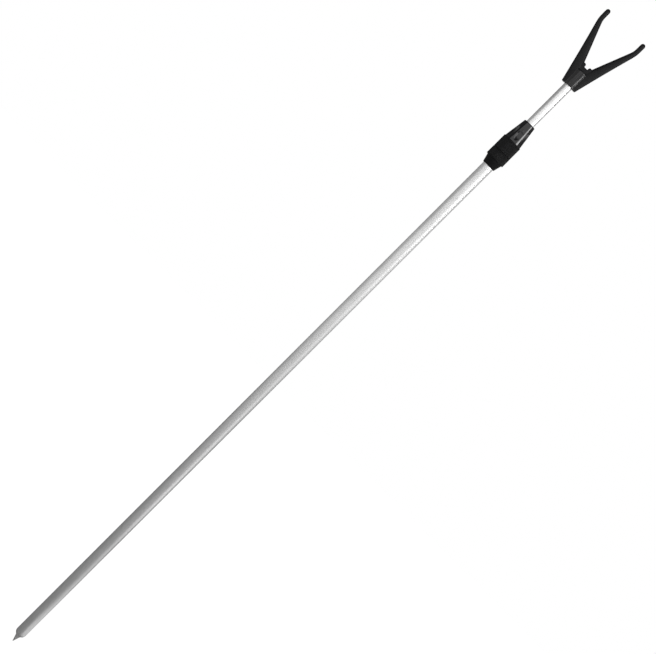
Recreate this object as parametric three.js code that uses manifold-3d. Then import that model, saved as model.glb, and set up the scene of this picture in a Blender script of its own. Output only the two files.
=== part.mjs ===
// Telescopic bank stick with a V rod head, upright, in millimetres.
// The tip of the ground spike is the origin and +Z runs up the stick. The V lies in the XZ plane.
import * as THREE from 'three'
import { mergeVertices } from 'three/addons/utils/BufferGeometryUtils.js'
import Module from 'manifold-3d'

const wasm = await Module()
wasm.setup()

// Lengths along the stick, from the ground up, as it stands almost pushed together
const spikePointLength = 13.2
const rolledEndHeight = 4.8
const outerTubeShownLength = 880.8
const skirtHeight = 10.9
const ringHeight = 12.2
const gripBandHeight = 18.8
const nutNoseHeight = 30.4
const innerTubeShownLength = 65.6

// Tubes
const innerTubeRadius = 6
const innerTubeWall = 1
const outerTubeWall = 1
const tubeEndChamfer = 0.4

// Clearances
const seatGap = 0.2
const runningGap = 0.2
const stopGap = 0.3
const threadGap = 0.3
const footSpare = 4.8
const cutOverrun = 1

// Ground spike
const spikePinRadius = 4.5
const spikeTipFlatRadius = 0.4
const spikeShankLength = 40
const spikeGrooveDepth = 0.6
const spikeGrooveHeight = 2.4
const spikeGrooveCount = 2
const spikeShankChamfer = 1.2

// Screw lock, lower half
const skirtFootWall = 0.9
const skirtInset = 1.6
const ringStandOut = 0.1
const ringChamfer = 0.6
const ribDepth = 0.45
const ribSink = 0.1
const ribCount = 60
const ribRimHeight = 1.7
const tubeSeatStop = 3
const stubWall = 1.5
const stubHeight = 15
const stubChamfer = 0.8

// Screw lock, collet
const colletFootWall = 1.4
const colletShoulderWall = 2.5
const colletFlangeWall = 3.4
const colletFlangeHeight = 1.4
const colletNoseHeight = 8.4
const colletNoseWall = 1.2
const colletSlotWidth = 1.4
const colletSlotFloor = 3
const colletSlotCount = 3
const snapLipHeight = 1.6
const stubToLipRun = 2

// Screw lock, nut
const gripBandWall = 2.85
const gripBandChamfer = 0.7
const nutNoseInset = 0.85
const nutNoseTopWall = 1.9
const nutNoseRoundHeight = 0.8
const nutFlatCount = 6
const nutFlatShare = 0.92
const dishLength = 17
const dishWidth = 8.6
const dishDepth = 0.8
const dishFootHeight = 2.6

// Foot of the inner tube
const bushLength = 40
const bushWall = 0.6
const bushSlitWidth = 1.6
const plugFlangeHeight = 2
const plugSpigotLength = 14
const plugChamfer = 0.5

// Rod head, heights above its base and distances from its middle
const headHeight = 100.1
const headBaseShoulder = 3.5
const armFlareHeight = 62
const armFlareReach = 26.3
const kneeOuterHeight = 85.7
const armInnerFootHeight = 34.4
const armInnerFootReach = 6.55
const kneeInnerHeight = 85.3
const tipReach = 30.35
const tipRadius = 3.2
const kneeSoftness = 0.45
const flareSoftness = 1.2
const kneeRun = 4.5
const armRootInset = 2.7
const bossWall = 1.3
const bossHeight = 24.1
const bossChamfer = 1.2
const socketCeiling = 2.5
const notchWidth = 5.2
const notchFloorHeight = 30
const humpRadius = 2.5
const humpReach = 5
const humpTopHeight = 34.1
const webHalfDepth = 3.2
const webFootHeight = 12
const webEdgeRound = 0.9

// How finely the rounds are cut
const tubeSides = 40
const lockSides = 48
const rollSteps = 5
const armSteps = 7
const kneeSteps = 6
const armSides = 16
const domeSteps = 4
const dishSides = 16

// Shape of the arms' section, and how fast their depth falls off, as plain numbers
const armSquareness = 2.2
const armDepthFall = 1.6

// Places that follow from the sizes above
const rollTopHeight = spikePointLength + rolledEndHeight
const spikeShankTopHeight = rollTopHeight + spikeShankLength
const collarFootHeight = rollTopHeight + outerTubeShownLength
const ringFootHeight = collarFootHeight + skirtHeight
const ringTopHeight = ringFootHeight + ringHeight
const stubTopHeight = ringTopHeight + stubHeight
const nutFootHeight = ringTopHeight + stopGap
const gripBandTopHeight = nutFootHeight + gripBandHeight
const nutTopHeight = gripBandTopHeight + nutNoseHeight
const headBaseHeight = nutTopHeight + innerTubeShownLength
const innerBoreRadius = innerTubeRadius - innerTubeWall
const outerBoreRadius = innerTubeRadius + runningGap + bushWall + runningGap
const outerTubeRadius = outerBoreRadius + outerTubeWall
const lockThroatRadius = innerTubeRadius + runningGap * 2
const colletBoreRadius = innerTubeRadius + runningGap
const colletFootRadius = colletBoreRadius + colletFootWall
const colletShoulderRadius = colletBoreRadius + colletShoulderWall
const colletFlangeRadius = colletBoreRadius + colletFlangeWall
const colletNoseRadius = colletBoreRadius + colletNoseWall
const stubRadius = colletShoulderRadius + seatGap + stubWall
const nutThreadRadius = stubRadius + threadGap
const gripBandRadius = nutThreadRadius + gripBandWall
const nutNoseFootRadius = gripBandRadius - nutNoseInset
const nutNoseTopRadius = lockThroatRadius + nutNoseTopWall
const ringRadius = gripBandRadius + ringStandOut
const skirtTopRadius = ringRadius - skirtInset
const skirtFootRadius = outerTubeRadius + seatGap + skirtFootWall
const headSocketRadius = innerTubeRadius + seatGap
const bossRadius = headSocketRadius + bossWall
const armRootHalfDepth = bossRadius - armRootInset
const headBaseHalfWidth = bossRadius + headBaseShoulder
const socketDepth = bossHeight - socketCeiling
const innerTubeTopHeight = headBaseHeight + socketDepth - stopGap
const plugFootHeight = spikeShankTopHeight + innerTubeShownLength + footSpare
const innerTubeFootHeight = plugFootHeight + plugFlangeHeight + stopGap
const colletSeatHeight = ringTopHeight + tubeSeatStop
const tubeStopHeight = ringTopHeight
const outerTubeTopHeight = tubeStopHeight - stopGap

// A revolved solid from an outline of [radius, height] points, listed up the outside and down the inside
function revolve(outline, sides) {
  const points = outline.map(([radius, height]) => new THREE.Vector2(radius, height))
  const geometry = new THREE.LatheGeometry(points, sides)
  geometry.rotateX(Math.PI / 2)
  return geometry
}

function revolveClosed(outline, sides) {
  return revolve([...outline, outline[0]], sides)
}

// An outline in the XY plane, raised to a height
function raise(shape, height) {
  return new THREE.ExtrudeGeometry(shape, { depth: height, bevelEnabled: false })
}

function toSolid(geometry) {
  const bare = geometry.clone()
  bare.deleteAttribute('normal')
  bare.deleteAttribute('uv')
  const merged = mergeVertices(bare)
  const index = merged.index.array
  const triVerts = []
  for (let i = 0; i < index.length; i += 3) {
    const [a, b, c] = [index[i], index[i + 1], index[i + 2]]
    if (a !== b && b !== c && c !== a) {
      triVerts.push(a, b, c)
    }
  }
  const vertProperties = new Float32Array(merged.attributes.position.array)
  const mesh = new wasm.Mesh({ numProp: 3, vertProperties, triVerts: new Uint32Array(triVerts) })
  return new wasm.Manifold(mesh)
}

function toGeometry(solid) {
  const { vertProperties, triVerts } = solid.getMesh()
  const geometry = new THREE.BufferGeometry()
  geometry.setAttribute('position', new THREE.BufferAttribute(vertProperties, 3))
  geometry.setIndex(new THREE.BufferAttribute(triVerts, 1))
  geometry.computeVertexNormals()
  return geometry
}

function join(...geometries) {
  return geometries.map(toSolid).reduce((whole, next) => whole.add(next))
}

// A skin over rings of equal point counts, listed upwards, each ring anticlockwise from above
function skin(rings) {
  const sides = rings[0].length
  const positions = rings.flat().flatMap((p) => [p.x, p.y, p.z])
  const index = []
  for (let level = 0; level < rings.length - 1; level++) {
    for (let side = 0; side < sides; side++) {
      const here = level * sides + side
      const beside = level * sides + (side + 1) % sides
      index.push(here, beside, beside + sides)
      index.push(here, beside + sides, here + sides)
    }
  }
  const top = (rings.length - 1) * sides
  for (let side = 1; side < sides - 1; side++) {
    index.push(0, side + 1, side)
    index.push(top, top + side, top + side + 1)
  }
  const geometry = new THREE.BufferGeometry()
  geometry.setAttribute('position', new THREE.Float32BufferAttribute(positions, 3))
  geometry.setIndex(index)
  return geometry
}

// How far the rolled lower end has drawn in at a share of its height, from the top down
function rolledIn(fromRadius, toRadius, share) {
  return fromRadius - (fromRadius - toRadius) * share ** 2
}

function rollOutline(fromRadius, toRadius) {
  const points = []
  for (let step = 0; step <= rollSteps; step++) {
    const share = step / rollSteps
    points.push([rolledIn(fromRadius, toRadius, share), rollTopHeight - rolledEndHeight * share])
  }
  return points
}

function groundSpike() {
  const shankRadius = outerBoreRadius - seatGap
  const shankTop = spikeShankTopHeight
  const grooveRun = spikeShankLength / (spikeGrooveCount + 1)
  const outline = [[0, 0], [spikeTipFlatRadius, 0]]
  outline.push(...rollOutline(shankRadius, spikePinRadius).reverse())
  for (let groove = 1; groove <= spikeGrooveCount; groove++) {
    const middle = rollTopHeight + grooveRun * groove
    const foot = middle - spikeGrooveHeight / 2
    const top = middle + spikeGrooveHeight / 2
    outline.push([shankRadius, foot - spikeGrooveDepth], [shankRadius - spikeGrooveDepth, foot])
    outline.push([shankRadius - spikeGrooveDepth, top], [shankRadius, top + spikeGrooveDepth])
  }
  outline.push([shankRadius, shankTop - spikeShankChamfer], [shankRadius - spikeShankChamfer, shankTop])
  outline.push([0, shankTop])
  return revolve(outline, tubeSides)
}

function outerTube() {
  const mouthRadius = spikePinRadius + seatGap
  const outside = rollOutline(outerTubeRadius, mouthRadius + outerTubeWall).reverse()
  const inside = rollOutline(outerBoreRadius, mouthRadius)
  const top = outerTubeTopHeight
  outside.push([outerTubeRadius, top - tubeEndChamfer], [outerTubeRadius - tubeEndChamfer, top])
  inside.unshift([outerBoreRadius, top])
  return revolveClosed([...outside, ...inside], tubeSides)
}

// The notched outline of a band of fine upright ribs, three corners to a rib
function ribOutline(radius) {
  const cornerShares = [[0, 1], [0.3, 0], [0.7, 0]]
  const pitch = Math.PI * 2 / ribCount
  const corners = []
  for (let rib = 0; rib < ribCount; rib++) {
    for (const [turnShare, depthShare] of cornerShares) {
      const angle = pitch * (rib + turnShare)
      const reach = radius - ribSink - (ribDepth - ribSink) * depthShare
      corners.push(new THREE.Vector2(Math.cos(angle) * reach, Math.sin(angle) * reach))
    }
  }
  return new THREE.Shape(corners)
}

// A grip band: fine upright ribs between two plain rims with bevelled edges
function ribbedBand(radius, foot, top, chamfer) {
  const ribs = raise(ribOutline(radius), top - foot - ribRimHeight)
  ribs.translate(0, 0, foot + ribRimHeight / 2)
  const lowerRim = revolve([
    [0, foot],
    [radius - chamfer, foot],
    [radius, foot + chamfer],
    [radius, foot + ribRimHeight],
    [0, foot + ribRimHeight],
  ], lockSides)
  const upperRim = revolve([
    [0, top - ribRimHeight],
    [radius, top - ribRimHeight],
    [radius, top - chamfer],
    [radius - chamfer, top],
    [0, top],
  ], lockSides)
  return join(ribs, lowerRim, upperRim)
}

function lockBody() {
  const socketRadius = outerTubeRadius + seatGap
  const core = revolve([
    [0, collarFootHeight],
    [skirtFootRadius, collarFootHeight],
    [skirtTopRadius, ringFootHeight],
    [skirtTopRadius, ringTopHeight],
    [stubRadius, ringTopHeight],
    [stubRadius, stubTopHeight - stubChamfer],
    [stubRadius - stubChamfer, stubTopHeight],
    [0, stubTopHeight],
  ], lockSides)
  const band = ribbedBand(ringRadius, ringFootHeight, ringTopHeight, ringChamfer)
  const socket = revolve([
    [0, collarFootHeight - cutOverrun],
    [socketRadius, collarFootHeight - cutOverrun],
    [socketRadius, tubeStopHeight],
    [lockThroatRadius, tubeStopHeight],
    [lockThroatRadius, colletSeatHeight],
    [colletFootRadius + seatGap, colletSeatHeight],
    [colletShoulderRadius + seatGap, stubTopHeight],
    [colletShoulderRadius + seatGap, stubTopHeight + cutOverrun],
    [0, stubTopHeight + cutOverrun],
  ], lockSides)
  return toGeometry(toSolid(core).add(band).subtract(toSolid(socket)))
}

// Heights inside the nut, shared by the collet and the nut's own cavity
const lipFootHeight = stubTopHeight + stubToLipRun
const lipTopHeight = lipFootHeight + snapLipHeight
const flangeFootHeight = lipTopHeight + stopGap
const flangeTopHeight = flangeFootHeight + colletFlangeHeight
const colletTopHeight = flangeTopHeight + colletNoseHeight

function slotBlade(angle, foot, top, reach) {
  const blade = new THREE.BoxGeometry(reach, colletSlotWidth, top - foot)
  blade.translate(reach / 2, 0, (foot + top) / 2)
  blade.rotateZ(angle)
  return toSolid(blade)
}

function lockCollet() {
  const foot = colletSeatHeight + stopGap
  let collet = toSolid(revolveClosed([
    [colletBoreRadius, foot],
    [colletFootRadius, foot],
    [colletShoulderRadius, stubTopHeight],
    [colletShoulderRadius, flangeFootHeight],
    [colletFlangeRadius, flangeFootHeight],
    [colletFlangeRadius, flangeTopHeight],
    [colletShoulderRadius - seatGap, flangeTopHeight],
    [colletNoseRadius, colletTopHeight],
    [colletBoreRadius, colletTopHeight],
  ], tubeSides))
  const reach = colletFlangeRadius + cutOverrun
  const pitch = Math.PI * 2 / colletSlotCount
  for (let slot = 0; slot < colletSlotCount; slot++) {
    const fromBelow = slotBlade(pitch * slot, foot - cutOverrun, colletTopHeight - colletSlotFloor, reach)
    const fromAbove = slotBlade(
      pitch * (slot + 1 / 2), foot + colletSlotFloor, colletTopHeight + cutOverrun, reach)
    collet = collet.subtract(fromBelow).subtract(fromAbove)
  }
  return toGeometry(collet)
}

// The nut's tapered nose: a round cone with flats, a shallow finger dish low on each flat
function nutNose() {
  const round = revolve([
    [0, nutFootHeight],
    [nutNoseFootRadius, nutFootHeight],
    [nutNoseFootRadius, gripBandTopHeight],
    [nutNoseTopRadius, nutTopHeight - nutNoseRoundHeight],
    [nutNoseTopRadius - nutNoseRoundHeight, nutTopHeight],
    [0, nutTopHeight],
  ], lockSides)
  const cornerShare = nutFlatShare / Math.cos(Math.PI / nutFlatCount)
  const facets = new THREE.CylinderGeometry(
    nutNoseTopRadius * cornerShare, nutNoseFootRadius * cornerShare, nutNoseHeight, nutFlatCount)
  facets.rotateX(Math.PI / 2)
  facets.rotateZ(Math.PI / 2)
  facets.translate(0, 0, gripBandTopHeight + nutNoseHeight / 2)
  const belowFlats = revolve([
    [0, nutFootHeight],
    [nutNoseFootRadius, nutFootHeight],
    [nutNoseFootRadius, gripBandTopHeight],
    [0, gripBandTopHeight],
  ], lockSides)
  let nose = toSolid(round).intersect(toSolid(facets)).add(toSolid(belowFlats))
  const slope = Math.atan2(nutFlatShare * (nutNoseFootRadius - nutNoseTopRadius), nutNoseHeight)
  const dishMiddle = dishFootHeight + dishLength / 2
  const flatReach = nutFlatShare
    * (nutNoseFootRadius - (nutNoseFootRadius - nutNoseTopRadius) * dishMiddle / nutNoseHeight)
  for (let flat = 0; flat < nutFlatCount; flat++) {
    const dish = new THREE.SphereGeometry(1, dishSides, dishSides / 2)
    dish.scale(dishWidth / 2, dishDepth, dishLength / 2)
    dish.rotateX(slope * -1)
    dish.translate(0, flatReach * -1, gripBandTopHeight + dishMiddle)
    dish.rotateZ(Math.PI * 2 / nutFlatCount * flat)
    nose = nose.subtract(toSolid(dish))
  }
  return nose
}

function lockNut() {
  const grooveRadius = colletFlangeRadius + stopGap
  const lipRadius = colletShoulderRadius + stopGap
  const noseClear = seatGap + stopGap
  const cavity = revolve([
    [0, nutFootHeight - cutOverrun],
    [nutThreadRadius, nutFootHeight - cutOverrun],
    [nutThreadRadius, lipFootHeight],
    [lipRadius, lipFootHeight],
    [lipRadius, lipTopHeight],
    [grooveRadius, lipTopHeight],
    [grooveRadius, flangeTopHeight + stopGap],
    [colletShoulderRadius, flangeTopHeight + stopGap],
    [colletNoseRadius + noseClear, colletTopHeight + stopGap],
    [lockThroatRadius, colletTopHeight + stopGap * 2],
    [lockThroatRadius, nutTopHeight + cutOverrun],
    [0, nutTopHeight + cutOverrun],
  ], lockSides)
  const band = ribbedBand(gripBandRadius, nutFootHeight, gripBandTopHeight, gripBandChamfer)
  return toGeometry(band.add(nutNose()).subtract(toSolid(cavity)))
}

function innerTube() {
  const foot = innerTubeFootHeight
  const top = innerTubeTopHeight
  return revolveClosed([
    [innerBoreRadius, foot],
    [innerTubeRadius - tubeEndChamfer, foot],
    [innerTubeRadius, foot + tubeEndChamfer],
    [innerTubeRadius, top - tubeEndChamfer],
    [innerTubeRadius - tubeEndChamfer, top],
    [innerBoreRadius, top],
  ], tubeSides)
}

function guideBush() {
  const boreRadius = innerTubeRadius + runningGap
  const foot = innerTubeFootHeight
  const top = foot + bushLength
  const sleeve = revolveClosed([
    [boreRadius, foot],
    [boreRadius + bushWall, foot],
    [boreRadius + bushWall, top - bushWall],
    [boreRadius + bushWall / 2, top],
    [boreRadius, top],
  ], tubeSides)
  const slit = new THREE.BoxGeometry(bushSlitWidth, outerTubeRadius, bushLength + cutOverrun * 2)
  slit.translate(0, outerTubeRadius / 2, foot + bushLength / 2)
  return toGeometry(toSolid(sleeve).subtract(toSolid(slit)))
}

function footPlug() {
  const flangeRadius = outerBoreRadius - runningGap * 2
  const spigotRadius = innerBoreRadius - seatGap
  const flangeFoot = plugFootHeight
  const flangeTop = flangeFoot + plugFlangeHeight
  const top = flangeTop + plugSpigotLength
  return revolve([
    [0, flangeFoot],
    [flangeRadius - plugChamfer, flangeFoot],
    [flangeRadius, flangeFoot + plugChamfer],
    [flangeRadius, flangeTop],
    [spigotRadius, flangeTop],
    [spigotRadius, top - plugChamfer],
    [spigotRadius - plugChamfer, top],
    [0, top],
  ], tubeSides)
}

// A line through two points of the V's outline, as the reach from the middle at a height
function reachOnLine(lowReach, lowHeight, highReach, highHeight, height) {
  return lowReach + (highReach - lowReach) * (height - lowHeight) / (highHeight - lowHeight)
}

// The smaller of two reaches, rounded off where they cross
function softSmaller(first, second, softness) {
  const least = Math.min(first, second)
  return least - softness * Math.log(1 + Math.exp(-Math.abs(first - second) / softness))
}

// The larger of two reaches, rounded off the same way
function softLarger(first, second, softness) {
  return -softSmaller(-first, -second, softness)
}

function outerReach(height) {
  const tipOutside = tipReach + tipRadius
  const lower = reachOnLine(headBaseHalfWidth, 0, armFlareReach, armFlareHeight, height)
  const upper = reachOnLine(armFlareReach, armFlareHeight, tipOutside, kneeOuterHeight, height)
  return softSmaller(softLarger(lower, upper, flareSoftness), tipOutside, kneeSoftness)
}

function innerReach(height) {
  const tipInside = tipReach - tipRadius
  const slanted = reachOnLine(
    armInnerFootReach, armInnerFootHeight, tipInside, kneeInnerHeight, height)
  return softSmaller(slanted, tipInside, kneeSoftness)
}

function armHalfDepth(height) {
  const leftShare = Math.max(0, 1 - height / kneeInnerHeight)
  return tipRadius + (armRootHalfDepth - tipRadius) * leftShare ** armDepthFall
}

// A rounded section of an arm at a height. It is squarer low down and round at the tip
function armRing(height, shrink) {
  const half = (outerReach(height) - innerReach(height)) / 2
  const middle = innerReach(height) + half
  const depth = armHalfDepth(height)
  const upShare = Math.min(1, height / kneeInnerHeight)
  const power = 2 / (armSquareness + (2 - armSquareness) * upShare)
  const ring = []
  for (let side = 0; side < armSides; side++) {
    const angle = Math.PI * 2 * side / armSides
    const across = Math.sign(Math.cos(angle)) * Math.abs(Math.cos(angle)) ** power
    const along = Math.sign(Math.sin(angle)) * Math.abs(Math.sin(angle)) ** power
    ring.push(new THREE.Vector3(middle + half * shrink * across, depth * shrink * along, height))
  }
  return ring
}

function spread(from, to, steps) {
  return Array.from({ length: steps }, (_, step) => from + (to - from) * step / steps)
}

function headArm(side) {
  const domeFoot = headHeight - tipRadius
  const kneeFoot = kneeOuterHeight - kneeRun
  const kneeTop = kneeInnerHeight + kneeRun
  const heights = [
    ...spread(0, armFlareHeight, armSteps),
    ...spread(armFlareHeight, kneeFoot, 2),
    ...spread(kneeFoot, kneeTop, kneeSteps),
    kneeTop,
  ]
  const rings = heights.map((height) => armRing(height, 1))
  for (let step = 0; step < domeSteps; step++) {
    const lift = Math.PI / 2 * step / domeSteps
    rings.push(armRing(domeFoot + tipRadius * Math.sin(lift), Math.cos(lift)))
  }
  const crownShrink = Math.cos(Math.PI / 2 * (1 - 1 / (domeSteps * 2)))
  rings.push(armRing(headHeight, crownShrink))
  const arm = skin(rings)
  if (side < 0) {
    arm.rotateZ(Math.PI)
  }
  return arm
}

// The web between the arms. Its top edge is the line notch between two rounded humps
function headWeb() {
  const humpMiddle = humpTopHeight - humpRadius
  const notchHalf = notchWidth / 2
  const wallTurn = Math.acos((notchHalf - humpReach) / humpRadius)
  const shape = new THREE.Shape()
  shape.moveTo(0, webFootHeight)
  shape.lineTo(humpReach + humpRadius, humpMiddle)
  shape.absarc(humpReach, humpMiddle, humpRadius, 0, wallTurn, false)
  shape.lineTo(notchHalf, notchFloorHeight)
  shape.lineTo(notchHalf * -1, notchFloorHeight)
  shape.absarc(humpReach * -1, humpMiddle, humpRadius, Math.PI - wallTurn, Math.PI, false)
  shape.closePath()
  const web = new THREE.ExtrudeGeometry(shape, {
    depth: (webHalfDepth - webEdgeRound) * 2,
    curveSegments: 6,
    bevelThickness: webEdgeRound,
    bevelSize: webEdgeRound,
    bevelOffset: -webEdgeRound,
    bevelSegments: 2,
  })
  web.rotateX(Math.PI / 2)
  web.translate(0, webHalfDepth - webEdgeRound, 0)
  return web
}

function rodHead() {
  const boss = revolve([
    [0, 0],
    [bossRadius, 0],
    [bossRadius, bossHeight - bossChamfer],
    [bossRadius - bossChamfer, bossHeight],
    [0, bossHeight],
  ], tubeSides)
  const socket = revolve([
    [0, cutOverrun * -1],
    [headSocketRadius, cutOverrun * -1],
    [headSocketRadius, socketDepth],
    [0, socketDepth],
  ], tubeSides)
  const head = join(boss, headArm(1), headArm(-1), headWeb())
  return toGeometry(head.subtract(toSolid(socket)))
}

// Finishes
const silverAluminium = { color: 0xc3c5c7, roughness: 0.42, metalness: 1 }
const turnedSteel = { color: 0x9b9c9e, roughness: 0.38, metalness: 1 }
const glossBlackPlastic = { color: 0x1d1d1f, roughness: 0.32, metalness: 0 }
const satinBlackPlastic = { color: 0x1a1a1b, roughness: 0.55, metalness: 0 }
const whiteNylon = { color: 0xe4e2da, roughness: 0.5, metalness: 0 }

function piece(name, geometry, finish) {
  const mesh = new THREE.Mesh(geometry, new THREE.MeshStandardMaterial(finish))
  mesh.name = name
  return mesh
}

const bankStick = new THREE.Group()

const lowerSection = new THREE.Group()
lowerSection.add(piece('ground_spike', groundSpike(), turnedSteel))
lowerSection.add(piece('outer_tube', outerTube(), silverAluminium))
lowerSection.add(piece('lock_body', lockBody(), satinBlackPlastic))

const lock = new THREE.Group()
lock.add(piece('lock_collet', lockCollet(), whiteNylon))
lock.add(piece('lock_nut', lockNut(), glossBlackPlastic))

const upperSection = new THREE.Group()
upperSection.add(piece('inner_tube', innerTube(), silverAluminium))
upperSection.add(piece('guide_bush', guideBush(), whiteNylon))
upperSection.add(piece('foot_plug', footPlug(), satinBlackPlastic))
const head = piece('rod_head', rodHead(), glossBlackPlastic)
head.position.z = headBaseHeight
upperSection.add(head)

bankStick.add(lowerSection, lock, upperSection)

export default bankStick
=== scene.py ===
# Telescopic bank stick with a V rod head: its looks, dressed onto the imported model
import math

import bmesh
import bpy
from mathutils import Matrix, Vector


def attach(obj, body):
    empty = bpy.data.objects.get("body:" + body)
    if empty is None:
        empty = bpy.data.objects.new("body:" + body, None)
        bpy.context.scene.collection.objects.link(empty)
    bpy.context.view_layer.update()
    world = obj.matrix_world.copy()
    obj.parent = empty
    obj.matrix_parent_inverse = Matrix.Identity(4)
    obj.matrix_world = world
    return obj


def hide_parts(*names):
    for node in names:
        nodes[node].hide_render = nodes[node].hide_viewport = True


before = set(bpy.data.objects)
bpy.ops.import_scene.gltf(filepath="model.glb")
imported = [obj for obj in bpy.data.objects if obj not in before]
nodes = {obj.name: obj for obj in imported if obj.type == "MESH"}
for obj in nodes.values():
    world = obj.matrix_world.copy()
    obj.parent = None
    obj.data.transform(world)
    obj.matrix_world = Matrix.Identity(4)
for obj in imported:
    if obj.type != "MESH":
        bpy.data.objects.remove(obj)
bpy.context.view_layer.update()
mm = 0.001
print("frame loaded")


# Colours and nodes

def linear(hexColour):
    channels = [int(hexColour[i:i + 2], 16) / 255 for i in (1, 3, 5)]
    return [c / 12.92 if c <= 0.04045 else ((c + 0.055) / 1.055) ** 2.4 for c in channels] + [1]


# Adds a node. A setting goes to the node's own option of that name, or else to its socket
def addNode(tree, kind, settings=None, links=None):
    node = tree.nodes.new(kind)
    for key, value in (settings or {}).items():
        if isinstance(key, str) and hasattr(node, key):
            setattr(node, key, value)
        else:
            node.inputs[key].default_value = value
    for key, source in (links or {}).items():
        tree.links.new(source, node.inputs[key])
    return node


def newMaterial(name, shaderSettings):
    material = bpy.data.materials.new(name)
    material.use_nodes = True
    tree = material.node_tree
    tree.nodes.clear()
    shader = addNode(tree, "ShaderNodeBsdfPrincipled", shaderSettings)
    addNode(tree, "ShaderNodeOutputMaterial", links={"Surface": shader.outputs[0]})
    place = addNode(tree, "ShaderNodeTexCoord").outputs["Object"]
    return material, tree, shader, place


# Drawn aluminium tube, clear anodised: a satin grey skin with faint long die lines and a soft broad highlight
def drawnAluminium(name, look):
    material, tree, shader, place = newMaterial(name, {"Metallic": 1})
    # die lines are under 0.1 mm apart, drawn near 0.7 mm so that they show, and they run some 200 mm
    stretched = addNode(tree, "ShaderNodeMapping", {"Scale": (1400, 1400, 5)}, {"Vector": place})
    lines = addNode(tree, "ShaderNodeTexNoise", {"Scale": 1, "Detail": 3, "Roughness": 0.6},
                    {"Vector": stretched.outputs[0]})
    # the etched skin under the anodising clouds a little over some 30 mm, and has a grain of about 0.9 mm
    clouds = addNode(tree, "ShaderNodeTexNoise", {"Scale": 33, "Detail": 3}, {"Vector": place})
    grain = addNode(tree, "ShaderNodeTexNoise", {"Scale": 1100, "Detail": 2, "Roughness": 0.7},
                    {"Vector": place})
    tone = addNode(tree, "ShaderNodeMapRange", {1: 0.3, 2: 0.7, 3: 0, 4: 1}, {0: lines.outputs[0]})
    colour = addNode(tree, "ShaderNodeMix", {
        "data_type": "RGBA", 6: linear(look["dark"]), 7: linear(look["pale"]),
    }, {0: tone.outputs[0]})
    cloudy = addNode(tree, "ShaderNodeMapRange", {
        1: 0.3, 2: 0.7, 3: look["roughness"] - 0.03, 4: look["roughness"] + 0.03,
    }, {0: clouds.outputs[0]})
    lined = addNode(tree, "ShaderNodeBump", {"Strength": look["lineDepth"], "Distance": 0.00005},
                    {"Height": lines.outputs[0]})
    grained = addNode(tree, "ShaderNodeBump", {"Strength": look["grainDepth"], "Distance": 0.00003},
                      {"Height": grain.outputs[0], "Normal": lined.outputs[0]})
    tree.links.new(colour.outputs[2], shader.inputs["Base Color"])
    tree.links.new(cloudy.outputs[0], shader.inputs["Roughness"])
    tree.links.new(grained.outputs[0], shader.inputs["Normal"])
    return material


# Moulded black plastic: near black, with the mould's fine grain and a few duller rubbed patches
def mouldedPlastic(name, look):
    material, tree, shader, place = newMaterial(name, {
        "Metallic": 0, "IOR": 1.5, "Specular IOR Level": look["shine"],
    })
    # spark-eroded mould grain, about 0.3 mm
    grain = addNode(tree, "ShaderNodeTexNoise", {"Scale": 3300, "Detail": 2, "Roughness": 0.6},
                    {"Vector": place})
    # the melt's flow leaves a slow wave in the skin, some 8 mm across
    flow = addNode(tree, "ShaderNodeTexNoise", {"Scale": 120, "Detail": 2}, {"Vector": place})
    patch = addNode(tree, "ShaderNodeMapRange", {1: 0.35, 2: 0.7, 3: 0, 4: 1}, {0: flow.outputs[0]})
    colour = addNode(tree, "ShaderNodeMix", {
        "data_type": "RGBA", 6: linear(look["colour"]), 7: linear(look["rubbed"]),
    }, {0: patch.outputs[0]})
    rough = addNode(tree, "ShaderNodeMapRange", {
        1: 0, 2: 1, 3: look["roughness"] - 0.04, 4: look["roughness"] + 0.06,
    }, {0: patch.outputs[0]})
    waved = addNode(tree, "ShaderNodeBump", {"Strength": look["waveDepth"], "Distance": 0.0001},
                    {"Height": flow.outputs[0]})
    grained = addNode(tree, "ShaderNodeBump", {"Strength": look["grainDepth"], "Distance": 0.00003},
                      {"Height": grain.outputs[0], "Normal": waved.outputs[0]})
    tree.links.new(colour.outputs[2], shader.inputs["Base Color"])
    tree.links.new(grained.outputs[0], shader.inputs["Normal"])
    tree.links.new(rough.outputs[0], shader.inputs["Roughness"])
    return material


# Turned steel, zinc plated and passivated: a dull pale grey skin that scatters much of its light, with rings from
# the tool's feed and a cloudy plating
def turnedSteel(name, look):
    material, tree, shader, place = newMaterial(name, {"Metallic": look["bareMetal"]})
    # feed marks are 0.15 mm apart, drawn at 0.6 mm
    squeezed = addNode(tree, "ShaderNodeMapping", {"Scale": (20, 20, 1700)}, {"Vector": place})
    rings = addNode(tree, "ShaderNodeTexNoise", {"Scale": 1, "Detail": 2}, {"Vector": squeezed.outputs[0]})
    stain = addNode(tree, "ShaderNodeTexNoise", {"Scale": 260, "Detail": 4, "Roughness": 0.6},
                    {"Vector": place})
    patch = addNode(tree, "ShaderNodeMapRange", {1: 0.35, 2: 0.65, 3: 0, 4: 1}, {0: stain.outputs[0]})
    colour = addNode(tree, "ShaderNodeMix", {
        "data_type": "RGBA", 6: linear(look["dark"]), 7: linear(look["pale"]),
    }, {0: patch.outputs[0]})
    rough = addNode(tree, "ShaderNodeMapRange", {
        1: 0, 2: 1, 3: look["roughness"] + 0.08, 4: look["roughness"] - 0.04,
    }, {0: patch.outputs[0]})
    ringed = addNode(tree, "ShaderNodeBump", {"Strength": 0.3, "Distance": 0.0001},
                     {"Height": rings.outputs[0]})
    tree.links.new(colour.outputs[2], shader.inputs["Base Color"])
    tree.links.new(rough.outputs[0], shader.inputs["Roughness"])
    tree.links.new(ringed.outputs[0], shader.inputs["Normal"])
    return material


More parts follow.
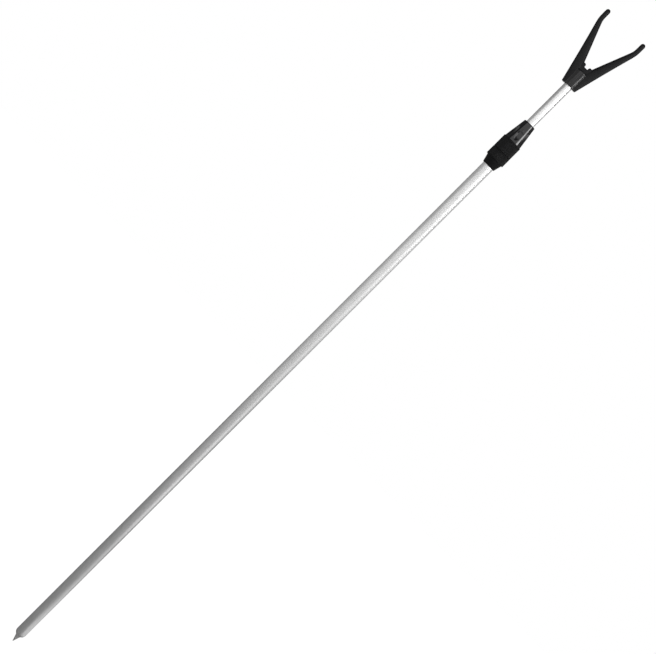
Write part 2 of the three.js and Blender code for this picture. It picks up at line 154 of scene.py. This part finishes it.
# Moulded natural nylon: waxy off-white that lets a little light in
def naturalNylon(name, look):
    material, tree, shader, place = newMaterial(name, {
        "Metallic": 0, "IOR": 1.53, "Roughness": look["roughness"],
        "Subsurface Weight": 0.15, "Subsurface Scale": 0.001,
    })
    haze = addNode(tree, "ShaderNodeTexNoise", {"Scale": 150, "Detail": 3}, {"Vector": place})
    colour = addNode(tree, "ShaderNodeMix", {
        "data_type": "RGBA", 6: linear(look["dark"]), 7: linear(look["pale"]),
    }, {0: haze.outputs[0]})
    grain = addNode(tree, "ShaderNodeTexNoise", {"Scale": 3300, "Detail": 2}, {"Vector": place})
    grained = addNode(tree, "ShaderNodeBump", {"Strength": 0.15, "Distance": 0.00003},
                      {"Height": grain.outputs[0]})
    tree.links.new(colour.outputs[2], shader.inputs["Base Color"])
    tree.links.new(grained.outputs[0], shader.inputs["Normal"])
    return material


finishes = {
    "outerTube": drawnAluminium("anodised_outer_tube", {
        "dark": "#DADADA", "pale": "#E7E7E7", "roughness": 0.45, "lineDepth": 0.06, "grainDepth": 0.02,
    }),
    "innerTube": drawnAluminium("anodised_inner_tube", {
        "dark": "#DFDFDF", "pale": "#ECECEC", "roughness": 0.4, "lineDepth": 0.05, "grainDepth": 0.015,
    }),
    "spike": turnedSteel("turned_zinc_steel", {
        "dark": "#C7C7C7", "pale": "#DDDDDD", "roughness": 0.55, "bareMetal": 0.2,
    }),
    "glossPlastic": mouldedPlastic("moulded_gloss_black", {
        "colour": "#151516", "rubbed": "#1C1C1E", "roughness": 0.12, "shine": 0.5, "grainDepth": 0.02,
        "waveDepth": 0.08,
    }),
    "armPlastic": mouldedPlastic("moulded_arm_black", {
        "colour": "#111112", "rubbed": "#171719", "roughness": 0.5, "shine": 0.22, "grainDepth": 0.15,
        "waveDepth": 0.1,
    }),
    "bossPlastic": mouldedPlastic("polished_boss_black", {
        "colour": "#121213", "rubbed": "#181819", "roughness": 0.15, "shine": 0.38, "grainDepth": 0.02,
        "waveDepth": 0.1,
    }),
    "satinPlastic": mouldedPlastic("moulded_satin_black", {
        "colour": "#101011", "rubbed": "#161617", "roughness": 0.5, "shine": 0.17, "grainDepth": 0.4,
        "waveDepth": 0.2,
    }),
    "nylon": naturalNylon("natural_nylon", {"dark": "#D6D2C4", "pale": "#E6E3D8", "roughness": 0.42}),
}
print("materials made")


# Making pieces, in millimetres, on the stick's axis
near = 0.01
touching = 0.001
weldDistance = 0.0005
roundSegments = 4
creaseAngle = 32


# Rounds the corners of an outline: each is a place and the length that its rounding takes from both edges
def roundCorners(bm, corners, segments):
    for rounding in sorted({corner[1] for corner in corners} - {0}):
        places = [Vector(place) for place, own in corners if own == rounding]
        chosen = [vert for vert in bm.verts if any((vert.co - place).length < touching for place in places)]
        bmesh.ops.bevel(bm, geom=chosen, offset=rounding, affect="VERTICES", segments=segments, profile=0.5,
                        material=-1)


# Spins an outline round the axis. Each point is (radius, height, corner rounding, cuts in the edge after it)
def turn(outline, steps, closed=True):
    bm = bmesh.new()
    points = [tuple(point) + (0,) * (4 - len(point)) for point in outline]
    corners = [bm.verts.new((point[0], 0, point[1])) for point in points]
    pairs = list(zip(corners, corners[1:] + corners[:1]))
    edges = [bm.edges.new(pair) for pair in (pairs if closed else pairs[:-1])]
    for cuts in sorted({point[3] for point in points} - {0}):
        chosen = [edge for edge, point in zip(edges, points) if point[3] == cuts]
        bmesh.ops.subdivide_edges(bm, edges=chosen, cuts=cuts)
    roundCorners(bm, [((point[0], 0, point[1]), point[2]) for point in points], roundSegments)
    bmesh.ops.spin(bm, geom=bm.verts[:] + bm.edges[:], cent=(0, 0, 0), axis=(0, 0, 1), dvec=(0, 0, 0),
                   angle=math.tau, steps=steps, use_merge=True)
    bmesh.ops.remove_doubles(bm, verts=bm.verts[:], dist=weldDistance)
    bmesh.ops.recalc_face_normals(bm, faces=bm.faces[:])
    return bm


# Moves each vertex in or out from the axis by what change(angle, radius, height) says
def reshape(bm, change):
    for vert in bm.verts:
        radius = math.hypot(vert.co.x, vert.co.y)
        if radius > 0:
            newRadius = radius + change(math.atan2(vert.co.y, vert.co.x), radius, vert.co.z)
            vert.co.x *= newRadius / radius
            vert.co.y *= newRadius / radius


def finishPiece(bm, name, materials, body, replaced):
    bmesh.ops.scale(bm, vec=(mm, mm, mm), verts=bm.verts[:])
    mesh = bpy.data.meshes.new(name)
    bm.to_mesh(mesh)
    bm.free()
    for material in materials:
        mesh.materials.append(material)
    mesh.shade_smooth()
    mesh.set_sharp_from_angle(angle=math.radians(creaseAngle))
    piece = bpy.data.objects.new(name, mesh)
    bpy.context.scene.collection.objects.link(piece)
    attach(piece, body)
    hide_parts(*replaced)
    if not mesh.polygons:
        raise RuntimeError(name + " came out empty")
    print(name, "made,", len(mesh.polygons), "faces")


def smoothStep(low, high, value):
    share = min(1, max(0, (value - low) / (high - low)))
    return share * share * (3 - 2 * share)


# The smaller of two distances, rounded off where they cross
def softSmaller(first, second, softness):
    return min(first, second) - softness * math.log(1 + math.exp(-abs(first - second) / softness))


# The ground spike: a turned pin whose shank sits inside the tube's rolled end
spike = {
    "tipRadius": 0.4, "tipRound": 0.15, "mouth": 13.2, "rollTop": 18.0, "rollSteps": 10, "pinRadius": 4.5,
    "shankRadius": 6.8, "shankTop": 58.0, "grooves": (31.33, 44.67), "grooveHeight": 2.4, "grooveDepth": 0.6,
    "chamfer": 1.2, "sides": 96,
}


# The way the tube's end draws in over the pin, from its foot up
def rollPoints(wideRadius, narrowRadius, count):
    points = []
    for step in range(count + 1):
        share = 1 - step / count
        height = spike["rollTop"] - (spike["rollTop"] - spike["mouth"]) * share
        points.append((wideRadius - (wideRadius - narrowRadius) * share ** 2, height))
    return points


def makeSpike():
    wide, depth = spike["shankRadius"], spike["grooveDepth"]
    outline = [(0, 0), (spike["tipRadius"], 0, spike["tipRound"])]
    outline += rollPoints(wide, spike["pinRadius"], spike["rollSteps"])
    for middle in spike["grooves"]:
        low, high = middle - spike["grooveHeight"] / 2, middle + spike["grooveHeight"] / 2
        outline += [(wide, low - depth), (wide - depth, low), (wide - depth, high), (wide, high + depth)]
    outline += [(wide, spike["shankTop"] - spike["chamfer"]), (wide - spike["chamfer"], spike["shankTop"])]
    bm = turn(outline + [(0, spike["shankTop"])], spike["sides"], closed=False)
    finishPiece(bm, "turnedSpike", [finishes["spike"]], "lower_section", ["ground_spike"])


makeSpike()


# The two tubes
outerTube = {
    "radius": 8.0, "wall": 1.0, "mouthRadius": 4.7, "top": 921.6, "edgeRound": 0.35, "rollSteps": 12,
    "sides": 128,
}
innerTube = {"radius": 6.0, "wall": 1.0, "foot": 130.7, "top": 1058.3, "edgeRound": 0.35, "sides": 112}


def makeOuterTube():
    tube = outerTube
    bore = tube["radius"] - tube["wall"]
    outside = rollPoints(tube["radius"], tube["mouthRadius"] + tube["wall"], tube["rollSteps"])
    inside = rollPoints(bore, tube["mouthRadius"], tube["rollSteps"])
    outside += [(tube["radius"], tube["top"], tube["edgeRound"]), (bore, tube["top"])]
    bm = turn(outside + inside[::-1], tube["sides"])
    finishPiece(bm, "outerTube", [finishes["outerTube"]], "lower_section",
                ["outer_tube"])


def makeInnerTube():
    tube = innerTube
    bore = tube["radius"] - tube["wall"]
    bm = turn([
        (tube["radius"], tube["foot"], tube["edgeRound"]), (tube["radius"], tube["top"], tube["edgeRound"]),
        (bore, tube["top"]), (bore, tube["foot"]),
    ], tube["sides"])
    finishPiece(bm, "innerTube", [finishes["innerTube"]], "upper_section",
                ["inner_tube"])


makeOuterTube()
makeInnerTube()


# The screw lock: its lower half, fixed on the outer tube, and the nut above it
ribs = {
    "count": 60, "perRib": 6, "depth": 0.42, "sink": 0.04, "rim": 0.95, "ramp": 0.35, "rampCuts": 3,
    "fullness": 0.8,
}
screw = {"pitch": 1.5, "depth": 0.55, "plainEnds": 1.5, "runOut": 1, "flank": (0.2, 0.8)}
lockBody = {
    "foot": 898.8, "footRadius": 9.1, "footRound": 0.3, "ringFoot": 909.7, "skirtTopRadius": 12.05,
    "ringRadius": 13.65, "ringTop": 921.9, "ringRound": 0.4, "stubRadius": 10.4, "stubTop": 936.9,
    "stubRound": 0.8, "threadCuts": 47, "socketRadius": 8.2, "throatRadius": 6.4, "seat": 924.9,
    "seatRadius": 7.8, "mouthRadius": 8.9,
}
lockNut = {
    "foot": 922.2, "footRound": 0.3, "bandTop": 941.0, "bandRadius": 13.55, "bandRound": 0.45, "bandSkin": 0.8,
    "noseFootRadius": 12.7, "noseTopRadius": 8.3, "noseCuts": 63, "top": 971.4, "plainTop": 1.6, "topRound": 0.8,
    "boreRadius": 6.4, "boreRound": 0.4, "flats": 6, "flatShare": 0.93, "flatSoftness": 0.1,
    "dishLength": 17.0, "dishWidth": 8.6, "dishDepth": 0.85, "dishFoot": 2.6, "dishBowl": 0.8,
    "threadRadius": 10.7, "threadCuts": 39, "lipFoot": 938.9, "lipTop": 940.5, "lipRadius": 9.0, "lipRound": 0.3,
    "grooveRadius": 9.9, "grooveTop": 942.5, "coneTop": 950.9, "coneRadius": 7.9, "coneChamfer": 0.3,
}


# How far the ribbed part of a grip band is cut back at an angle and height
def ribCut(angle, height, foot, top):
    inside = min(height - foot, top - height) - ribs["rim"]
    wave = 0.5 - 0.5 * math.cos(angle * ribs["count"])
    return (ribs["sink"] + ribs["depth"] * wave ** ribs["fullness"]) * smoothStep(0, ribs["ramp"], inside)


# How far the screw thread is cut back at an angle and height, a right-hand thread
def threadCut(angle, height, foot, top):
    turns = (height - foot) / screw["pitch"] - angle / math.tau
    wave = abs((turns % 1) * 2 - 1)
    ends = smoothStep(foot, foot + screw["runOut"], height) * smoothStep(0, screw["runOut"], top - height)
    return screw["depth"] * smoothStep(*screw["flank"], wave) * ends


# Edge rows for a ribbed band: its two rims and the ramps into the ribs
def bandRows(radius, foot, top, rounding):
    low, high, ramp = foot + ribs["rim"], top - ribs["rim"], ribs["ramp"]
    return [
        (radius, foot, rounding), (radius, low), (radius, low + ramp / 2),
        (radius, low + ramp, 0, ribs["rampCuts"]), (radius, high - ramp), (radius, high - ramp / 2),
        (radius, high), (radius, top, rounding),
    ]


def makeLockBody():
    body = lockBody
    threadFoot, threadTop = body["ringTop"] + screw["plainEnds"], body["stubTop"] - screw["plainEnds"]
    outline = [(body["footRadius"], body["foot"], body["footRound"]), (body["skirtTopRadius"], body["ringFoot"])]
    outline += bandRows(body["ringRadius"], body["ringFoot"], body["ringTop"], body["ringRound"])
    outline += [
        (body["stubRadius"], body["ringTop"]), (body["stubRadius"], threadFoot, 0, body["threadCuts"]),
        (body["stubRadius"], threadTop), (body["stubRadius"], body["stubTop"], body["stubRound"]),
        (body["mouthRadius"], body["stubTop"]), (body["seatRadius"], body["seat"]),
        (body["throatRadius"], body["seat"]), (body["throatRadius"], body["ringTop"]),
        (body["socketRadius"], body["ringTop"]), (body["socketRadius"], body["foot"]),
    ]
    bm = turn(outline, ribs["count"] * ribs["perRib"])

    def change(angle, radius, height):
        if radius > body["ringRadius"] - near and height < body["ringTop"]:
            return -ribCut(angle, height, body["ringFoot"], body["ringTop"])
        if abs(radius - body["stubRadius"]) < near and threadFoot < height < threadTop:
            return -threadCut(angle, height, threadFoot, threadTop)
        return 0

    reshape(bm, change)
    finishPiece(bm, "lockBody", [finishes["satinPlastic"]], "lower_section", ["lock_body"])


def noseCone(height):
    up = (height - lockNut["bandTop"]) / (lockNut["top"] - lockNut["bandTop"])
    return lockNut["noseFootRadius"] + (lockNut["noseTopRadius"] - lockNut["noseFootRadius"]) * up


# How far the nose's round cone is cut back: soft-edged flats, and an oval finger dish low on each flat
def noseCut(angle, height):
    cone = noseCone(height)
    sector = math.tau / lockNut["flats"]
    turned = (angle + math.pi / 2 + sector / 2) % sector - sector / 2
    flat = lockNut["flatShare"] * cone / math.cos(turned)
    across = flat * math.sin(turned) / (lockNut["dishWidth"] / 2)
    along = (height - lockNut["bandTop"] - lockNut["dishFoot"]) / (lockNut["dishLength"] / 2) - 1
    reach = math.hypot(across, along)
    hollow = max(0, 1 - reach ** 2) ** lockNut["dishBowl"]
    return cone - softSmaller(cone, flat, lockNut["flatSoftness"]) + lockNut["dishDepth"] * hollow


def makeLockNut():
    nut = lockNut
    flatsTop = nut["top"] - nut["plainTop"]
    threadFoot, threadTop = nut["foot"] + screw["plainEnds"], nut["lipFoot"] - screw["plainEnds"]
    outline = [(nut["threadRadius"], nut["foot"], nut["footRound"])]
    outline += bandRows(nut["bandRadius"], nut["foot"], nut["bandTop"], nut["bandRound"])
    outline += [
        (nut["noseFootRadius"], nut["bandTop"], 0, nut["noseCuts"]), (noseCone(flatsTop), flatsTop),
        (nut["noseTopRadius"], nut["top"], nut["topRound"]), (nut["boreRadius"], nut["top"], nut["boreRound"]),
        (nut["boreRadius"], nut["coneTop"]), (nut["coneRadius"], nut["coneTop"] - nut["coneChamfer"]),
        (nut["lipRadius"] - nut["coneChamfer"], nut["grooveTop"]), (nut["grooveRadius"], nut["grooveTop"]),
        (nut["grooveRadius"], nut["lipTop"]), (nut["lipRadius"], nut["lipTop"], nut["lipRound"]),
        (nut["lipRadius"], nut["lipFoot"], nut["lipRound"]), (nut["threadRadius"], nut["lipFoot"]),
        (nut["threadRadius"], threadTop, 0, nut["threadCuts"]), (nut["threadRadius"], threadFoot),
    ]
    bm = turn(outline, ribs["count"] * ribs["perRib"])

    def change(angle, radius, height):
        cone = noseCone(height)
        if height > flatsTop + near:
            plain = nut["boreRadius"] + nut["boreRound"]
            share = min(1, max(0, (radius - plain) / (cone - plain)))
            return -noseCut(angle, height) * share
        if height > nut["bandTop"] - near and abs(radius - cone) < near * 5:
            return -noseCut(angle, height)
        if height < nut["bandTop"] and radius > nut["bandRadius"] - near:
            return -ribCut(angle, height, nut["foot"], nut["bandTop"])
        if abs(radius - nut["threadRadius"]) < near and threadFoot < height < threadTop:
            return threadCut(angle, height, threadFoot, threadTop)
        return 0

    reshape(bm, change)
    for face in bm.faces:  # the band is etched and the nose is polished
        middle = face.calc_center_median()
        outside = math.hypot(middle.x, middle.y) > nut["threadRadius"] + nut["bandSkin"]
        face.material_index = 1 if outside and middle.z < nut["bandTop"] + near else 0
    finishPiece(bm, "lockNut", [finishes["glossPlastic"], finishes["satinPlastic"]], "nut",
                ["lock_nut"])


makeLockBody()
makeLockNut()


# The rod head: one moulding of a round socket, two arms and a notched web, with filleted joins.
# Heights are above its base
head = {
    "base": 1037.0, "height": 100.1, "baseHalfWidth": 11.0, "flareHeight": 62.0, "flareReach": 26.3,
    "kneeOuter": 85.7, "kneeInner": 85.3, "innerFootHeight": 34.4, "innerFootReach": 6.55,
    "tipReach": 30.35, "tipRadius": 3.2, "kneeSoftness": 0.6, "flareSoftness": 1.5,
    "rootHalfDepth": 4.8, "depthFall": 1.6, "squareness": 2.2, "sides": 32, "levels": 56, "domeSteps": 8,
    "bossRadius": 7.5, "bossHeight": 24.1, "bossRound": 1.2, "bossSides": 96,
    "notchWidth": 5.2, "notchFloor": 30.0, "humpRadius": 2.35, "humpReach": 5.0, "humpFoot": 24.0,
    "humpTop": 34.1, "humpSegments": 8, "webHalfDepth": 3.2, "webFoot": 12.0, "webRound": 0.9, "rimSegments": 3,
    "socketRadius": 6.2, "socketDepth": 21.6, "drillBelow": 5, "voxel": 0.32, "smoothing": 11,
    "polishBelowTop": 1, "polishPastBoss": 0.5,
}


def onLine(lowReach, lowHeight, highReach, highHeight, height):
    return lowReach + (highReach - lowReach) * (height - lowHeight) / (highHeight - lowHeight)


# Outer and inner reach of an arm from the middle at a height
def armReach(height):
    outerTip, innerTip = head["tipReach"] + head["tipRadius"], head["tipReach"] - head["tipRadius"]
    lower = onLine(head["baseHalfWidth"], 0, head["flareReach"], head["flareHeight"], height)
    upper = onLine(head["flareReach"], head["flareHeight"], outerTip, head["kneeOuter"], height)
    flared = -softSmaller(-lower, -upper, head["flareSoftness"])
    slanted = onLine(head["innerFootReach"], head["innerFootHeight"], innerTip, head["kneeInner"], height)
    knee = head["kneeSoftness"]
    return softSmaller(flared, outerTip, knee), softSmaller(slanted, innerTip, knee)


# Where a point of an arm's section lies: squarish low down, round at the tip
def armPoint(side, angle, height, shrink):
    outer, inner = armReach(height)
    down = max(0, 1 - height / head["kneeInner"])
    depth = head["tipRadius"] + (head["rootHalfDepth"] - head["tipRadius"]) * down ** head["depthFall"]
    power = 2 / (2 + (head["squareness"] - 2) * down)
    cosine, sine = math.cos(angle), math.sin(angle)
    across = math.copysign(abs(cosine) ** power, cosine) * shrink
    along = math.copysign(abs(sine) ** power, sine) * shrink
    return (side * ((outer + inner) / 2 + (outer - inner) / 2 * across), depth * along, height)


# One arm: a disc's face, extruded up level by level and fitted to the arm's section
def addArm(bm, side):
    turned = bm.verts.layers.float.get("turned") or bm.verts.layers.float.new("turned")
    ring = bmesh.ops.create_circle(bm, cap_ends=True, radius=1, segments=head["sides"])["verts"]
    for vert in ring:
        vert[turned] = math.atan2(vert.co.y, vert.co.x)
    cap = ring[0].link_faces[0]
    domeFoot = head["height"] - head["tipRadius"]
    levels = [(domeFoot * step / head["levels"], 1) for step in range(head["levels"] + 1)]
    for step in range(1, head["domeSteps"] + 1):
        lift = math.pi / 2 * step / (head["domeSteps"] + 0.5)
        levels.append((domeFoot + head["tipRadius"] * math.sin(lift), math.cos(lift)))
    for number, (height, shrink) in enumerate(levels):
        if number:
            grown = bmesh.ops.extrude_face_region(bm, geom=[cap])["geom"]
            cap = [item for item in grown if isinstance(item, bmesh.types.BMFace)][0]
        for vert in cap.verts:
            vert.co = armPoint(side, vert[turned], height, shrink)


# One flat slab of the web, from (reach, height, corner rounding) points, with its front and back rims rounded
def addSlab(bm, rows):
    front = -head["webHalfDepth"]
    slab = bmesh.new()
    slab.faces.new([slab.verts.new((x, front, z)) for x, z, _ in rows])
    roundCorners(slab, [((x, front, z), rounding) for x, z, rounding in rows], head["humpSegments"])
    grown = bmesh.ops.extrude_face_region(slab, geom=slab.faces[:])["geom"]
    back = [item for item in grown if isinstance(item, bmesh.types.BMVert)]
    bmesh.ops.translate(slab, vec=(0, -2 * front, 0), verts=back)
    rims = [edge for edge in slab.edges if abs(edge.verts[0].co.y - edge.verts[1].co.y) < touching]
    bmesh.ops.bevel(slab, geom=rims, offset=head["webRound"], affect="EDGES", segments=head["rimSegments"],
                    profile=0.5, material=-1)
    mesh = bpy.data.meshes.new("webSlab")
    slab.to_mesh(mesh)
    slab.free()
    bm.from_mesh(mesh)
    bpy.data.meshes.remove(mesh)


# The web between the arms: a plate up to the line notch's floor, and a round-topped hump on each side of it
def addWeb(bm):
    notchHalf, outside = head["notchWidth"] / 2, head["humpReach"] + head["humpRadius"]
    addSlab(bm, [(0, head["webFoot"], 0), (outside, head["notchFloor"], 0), (-outside, head["notchFloor"], 0)])
    for side in (1, -1):
        addSlab(bm, [
            (side * notchHalf, head["humpFoot"], 0), (side * outside, head["humpFoot"], 0),
            (side * outside, head["humpTop"], head["humpRadius"]),
            (side * notchHalf, head["humpTop"], head["humpRadius"]),
        ])


# The web, arms and socket boss in one mesh, not yet joined
def roughHeadMesh():
    bm = bmesh.new()
    addWeb(bm)
    addArm(bm, 1)
    addArm(bm, -1)
    bmesh.ops.recalc_face_normals(bm, faces=bm.faces[:])
    rough = bpy.data.meshes.new("headRough")
    bm.to_mesh(rough)
    bm.free()
    boss = turn([(0, 0), (head["bossRadius"], 0), (head["bossRadius"], head["bossHeight"], head["bossRound"]),
                 (0, head["bossHeight"])], head["bossSides"], closed=False)
    boss.from_mesh(rough)
    boss.to_mesh(rough)
    boss.free()
    return rough


def socketMesh():
    below = -head["drillBelow"]
    socket = turn([(0, below), (head["socketRadius"], below), (head["socketRadius"], head["socketDepth"]),
                   (0, head["socketDepth"])], head["bossSides"], closed=False)
    cutter = bpy.data.meshes.new("headSocket")
    socket.to_mesh(cutter)
    socket.free()
    return cutter


# Joins the rough parts with a fine voxel skin, smooths that into fillets, and drills the socket
def makeHead():
    roughHead = bpy.data.objects.new("headRough", roughHeadMesh())
    socketTool = bpy.data.objects.new("headSocket", socketMesh())
    bpy.context.scene.collection.objects.link(roughHead)
    bpy.context.scene.collection.objects.link(socketTool)
    remesh = roughHead.modifiers.new("fuse", "REMESH")
    remesh.mode = "VOXEL"
    remesh.voxel_size = head["voxel"]
    smooth = roughHead.modifiers.new("fillet", "SMOOTH")
    smooth.factor = 0.5
    smooth.iterations = head["smoothing"]
    drill = roughHead.modifiers.new("socket", "BOOLEAN")
    drill.operation = "DIFFERENCE"
    drill.object = socketTool
    drill.solver = "MANIFOLD"
    fused = roughHead.evaluated_get(bpy.context.evaluated_depsgraph_get()).to_mesh()
    bm = bmesh.new()
    bm.from_mesh(fused)
    bmesh.ops.translate(bm, vec=(0, 0, head["base"]), verts=bm.verts[:])
    bpy.data.objects.remove(roughHead)
    bpy.data.objects.remove(socketTool)
    bossTop = head["base"] + head["bossHeight"] - head["polishBelowTop"]
    polishRadius = head["bossRadius"] + head["polishPastBoss"]
    for face in bm.faces:  # the mould is polished round the socket and etched elsewhere
        middle = face.calc_center_median()
        onBoss = middle.z < bossTop and math.hypot(middle.x, middle.y) < polishRadius
        face.material_index = 1 if onBoss else 0
    finishPiece(bm, "rodHead", [finishes["armPlastic"], finishes["bossPlastic"]], "upper_section",
                ["rod_head"])


makeHead()

for name, finish in {"lock_collet": "nylon", "guide_bush": "nylon", "foot_plug": "satinPlastic"}.items():
    nodes[name].material_slots[0].material = finishes[finish]
print("inner pieces finished")


# Floor, world, lamps and camera

# Each of the world's ramps is (from, to) along an axis of the view's direction, and the brightness at either end
studio = {
    "floorSize": 5.0, "floorColour": "#AAAAAA", "floorLift": 0.88, "ambient": 0.3,
    "rise": (-0.35, 0.06, 0.3, 1.15), "fall": (0.07, 0.24, 1.0, 0.16), "leftToRight": (-0.4, 0.8, 0.8, 1.15),
    "frontToBack": (0.0, 0.7, 1.0, 0.5), "backdrop": (0.93, 0.985, 0.0, 1.0),
}


# Pale floor. The camera also sees some glow of its own, so that it reads as the photo's white paper
def makeFloor():
    bm = bmesh.new()
    bmesh.ops.create_grid(bm, x_segments=1, y_segments=1, size=studio["floorSize"] / 2)
    mesh = bpy.data.meshes.new("floor")
    bm.to_mesh(mesh)
    bm.free()
    material = bpy.data.materials.new("studio_floor")
    material.use_nodes = True
    tree = material.node_tree
    tree.nodes.clear()
    paper = addNode(tree, "ShaderNodeBsdfDiffuse", {"Color": linear(studio["floorColour"])})
    ray = addNode(tree, "ShaderNodeLightPath")
    lift = addNode(tree, "ShaderNodeMath", {"operation": "MULTIPLY", 1: studio["floorLift"]},
                   {0: ray.outputs["Is Camera Ray"]})
    glow = addNode(tree, "ShaderNodeEmission", {"Color": (1, 1, 1, 1)}, {"Strength": lift.outputs[0]})
    both = addNode(tree, "ShaderNodeAddShader", links={0: paper.outputs[0], 1: glow.outputs[0]})
    addNode(tree, "ShaderNodeOutputMaterial", links={"Surface": both.outputs[0]})
    mesh.materials.append(material)
    floor = bpy.data.objects.new("floor", mesh)
    bpy.context.scene.collection.objects.link(floor)


# World: white to the camera, a plain dim level to diffuse rays. Gloss sees a studio wall that is brightest near
# the horizon, in front and to the right, and the white backdrop behind the stick
def makeWorld():
    world = bpy.data.worlds.new("studio")
    bpy.context.scene.world = world
    world.use_nodes = True
    tree = world.node_tree
    tree.nodes.clear()
    direction = addNode(tree, "ShaderNodeTexCoord").outputs["Generated"]
    split = addNode(tree, "ShaderNodeSeparateXYZ", links={0: direction})

    def ramp(name, axis):
        low, high, fromLevel, toLevel = studio[name]
        return addNode(tree, "ShaderNodeMapRange", {
            "interpolation_type": "SMOOTHSTEP", 1: low, 2: high, 3: fromLevel, 4: toLevel,
        }, {0: split.outputs[axis]}).outputs[0]

    def combine(operation, first, second):
        return addNode(tree, "ShaderNodeMath", {"operation": operation}, {0: first, 1: second}).outputs[0]

    wall = combine("MULTIPLY", ramp("rise", "Z"), ramp("fall", "Z"))
    wall = combine("MULTIPLY", wall, ramp("leftToRight", "X"))
    wall = combine("MULTIPLY", wall, ramp("frontToBack", "Y"))
    wall = combine("MAXIMUM", wall, ramp("backdrop", "Y"))
    ray = addNode(tree, "ShaderNodeLightPath").outputs
    mirrored = combine("MAXIMUM", ray["Is Glossy Ray"], ray["Is Transmission Ray"])
    level = addNode(tree, "ShaderNodeMix", {"data_type": "FLOAT", 2: studio["ambient"]}, {0: mirrored, 3: wall})
    strength = combine("MAXIMUM", level.outputs[0], ray["Is Camera Ray"])
    background = addNode(tree, "ShaderNodeBackground", {"Color": (1, 1, 1, 1)}, {"Strength": strength})
    addNode(tree, "ShaderNodeOutputWorld", links={"Surface": background.outputs[0]})


# Soft boxes: bearing is degrees to the right of the camera, seen from the stick. Level is the brightness of a
# box's face beside the white backdrop's 1, and aim is the height on the axis that it faces. The foot card lies
# just above the floor and faces almost straight up
lamps = {
    "key": {"bearing": 60, "distance": 1.6, "height": 1.51, "aim": 0.95, "size": (0.72, 0.26), "level": 10},
    "bossKey": {"bearing": 77, "distance": 1.6, "height": 1.26, "aim": 1.05, "size": (0.14, 0.3), "level": 20},
    "frontHigh": {"bearing": -12, "distance": 1.5, "height": 1.5, "aim": 0.95, "size": (2.0, 0.5), "level": 1.15},
    "frontLow": {"bearing": -30, "distance": 2.2, "height": 0.95, "aim": 0.95, "size": (3.0, 0.5), "level": 0.9},
    "dishLight": {"bearing": 28, "distance": 1.6, "height": 1.95, "aim": 0.95, "size": (0.6, 1.0), "level": 2.3},
    "sideBox": {"bearing": 46, "distance": 1.4, "height": 0.95, "aim": 0.95, "size": (0.7, 0.9), "level": 0.3},
    "footBox": {"bearing": 64, "distance": 0.7, "height": 0.22, "aim": 0.22, "size": (0.6, 0.36), "level": 0.38},
    "footStrip": {"bearing": 80, "distance": 0.55, "height": 0.12, "aim": 0.12, "size": (0.6, 0.22), "level": 0.6},
    "footCard": {"bearing": 96, "distance": 0.18, "height": 0.004, "aim": 50, "size": (0.2, 0.32), "level": 0.45},
}


def makeLamps():
    for name, lamp in lamps.items():
        light = bpy.data.lights.new(name, "AREA")
        light.shape = "RECTANGLE"
        light.size, light.size_y = lamp["size"]
        light.energy = lamp["level"] * math.pi * light.size * light.size_y
        box = bpy.data.objects.new(name, light)
        bearing = math.radians(lamp["bearing"])
        box.location = Vector((math.sin(bearing), -math.cos(bearing), 0)) * lamp["distance"]
        box.location.z = lamp["height"]
        facing = Vector((0, 0, lamp["aim"])) - box.location
        box.rotation_euler = facing.to_track_quat("-Z", "Y").to_euler()
        box.visible_camera = False
        bpy.context.scene.collection.objects.link(box)


# The camera looks along +Y, a little down, and is rolled so that the stick runs from lower left to upper right
camera = {
    "target": (0.001, 0, 0.6101), "distance": 1.618, "elevation": 8, "roll": 45.05, "lens": 68.8, "sensor": 36,
}


def makeCamera():
    optics = bpy.data.cameras.new("camera")
    optics.lens = camera["lens"]
    optics.sensor_width = camera["sensor"]
    optics.sensor_fit = "HORIZONTAL"
    viewer = bpy.data.objects.new("camera", optics)
    rise = math.radians(camera["elevation"])
    away = Vector((0, -math.cos(rise), math.sin(rise))) * camera["distance"]
    viewer.location = Vector(camera["target"]) + away
    facing = Matrix.Rotation(math.pi / 2 - rise, 3, "X") @ Matrix.Rotation(math.radians(camera["roll"]), 3, "Z")
    viewer.rotation_euler = facing.to_euler()
    bpy.context.scene.collection.objects.link(viewer)
    bpy.context.scene.camera = viewer


makeFloor()
makeWorld()
makeLamps()
makeCamera()
bpy.context.scene.view_settings.view_transform = "Standard"
print("studio made")
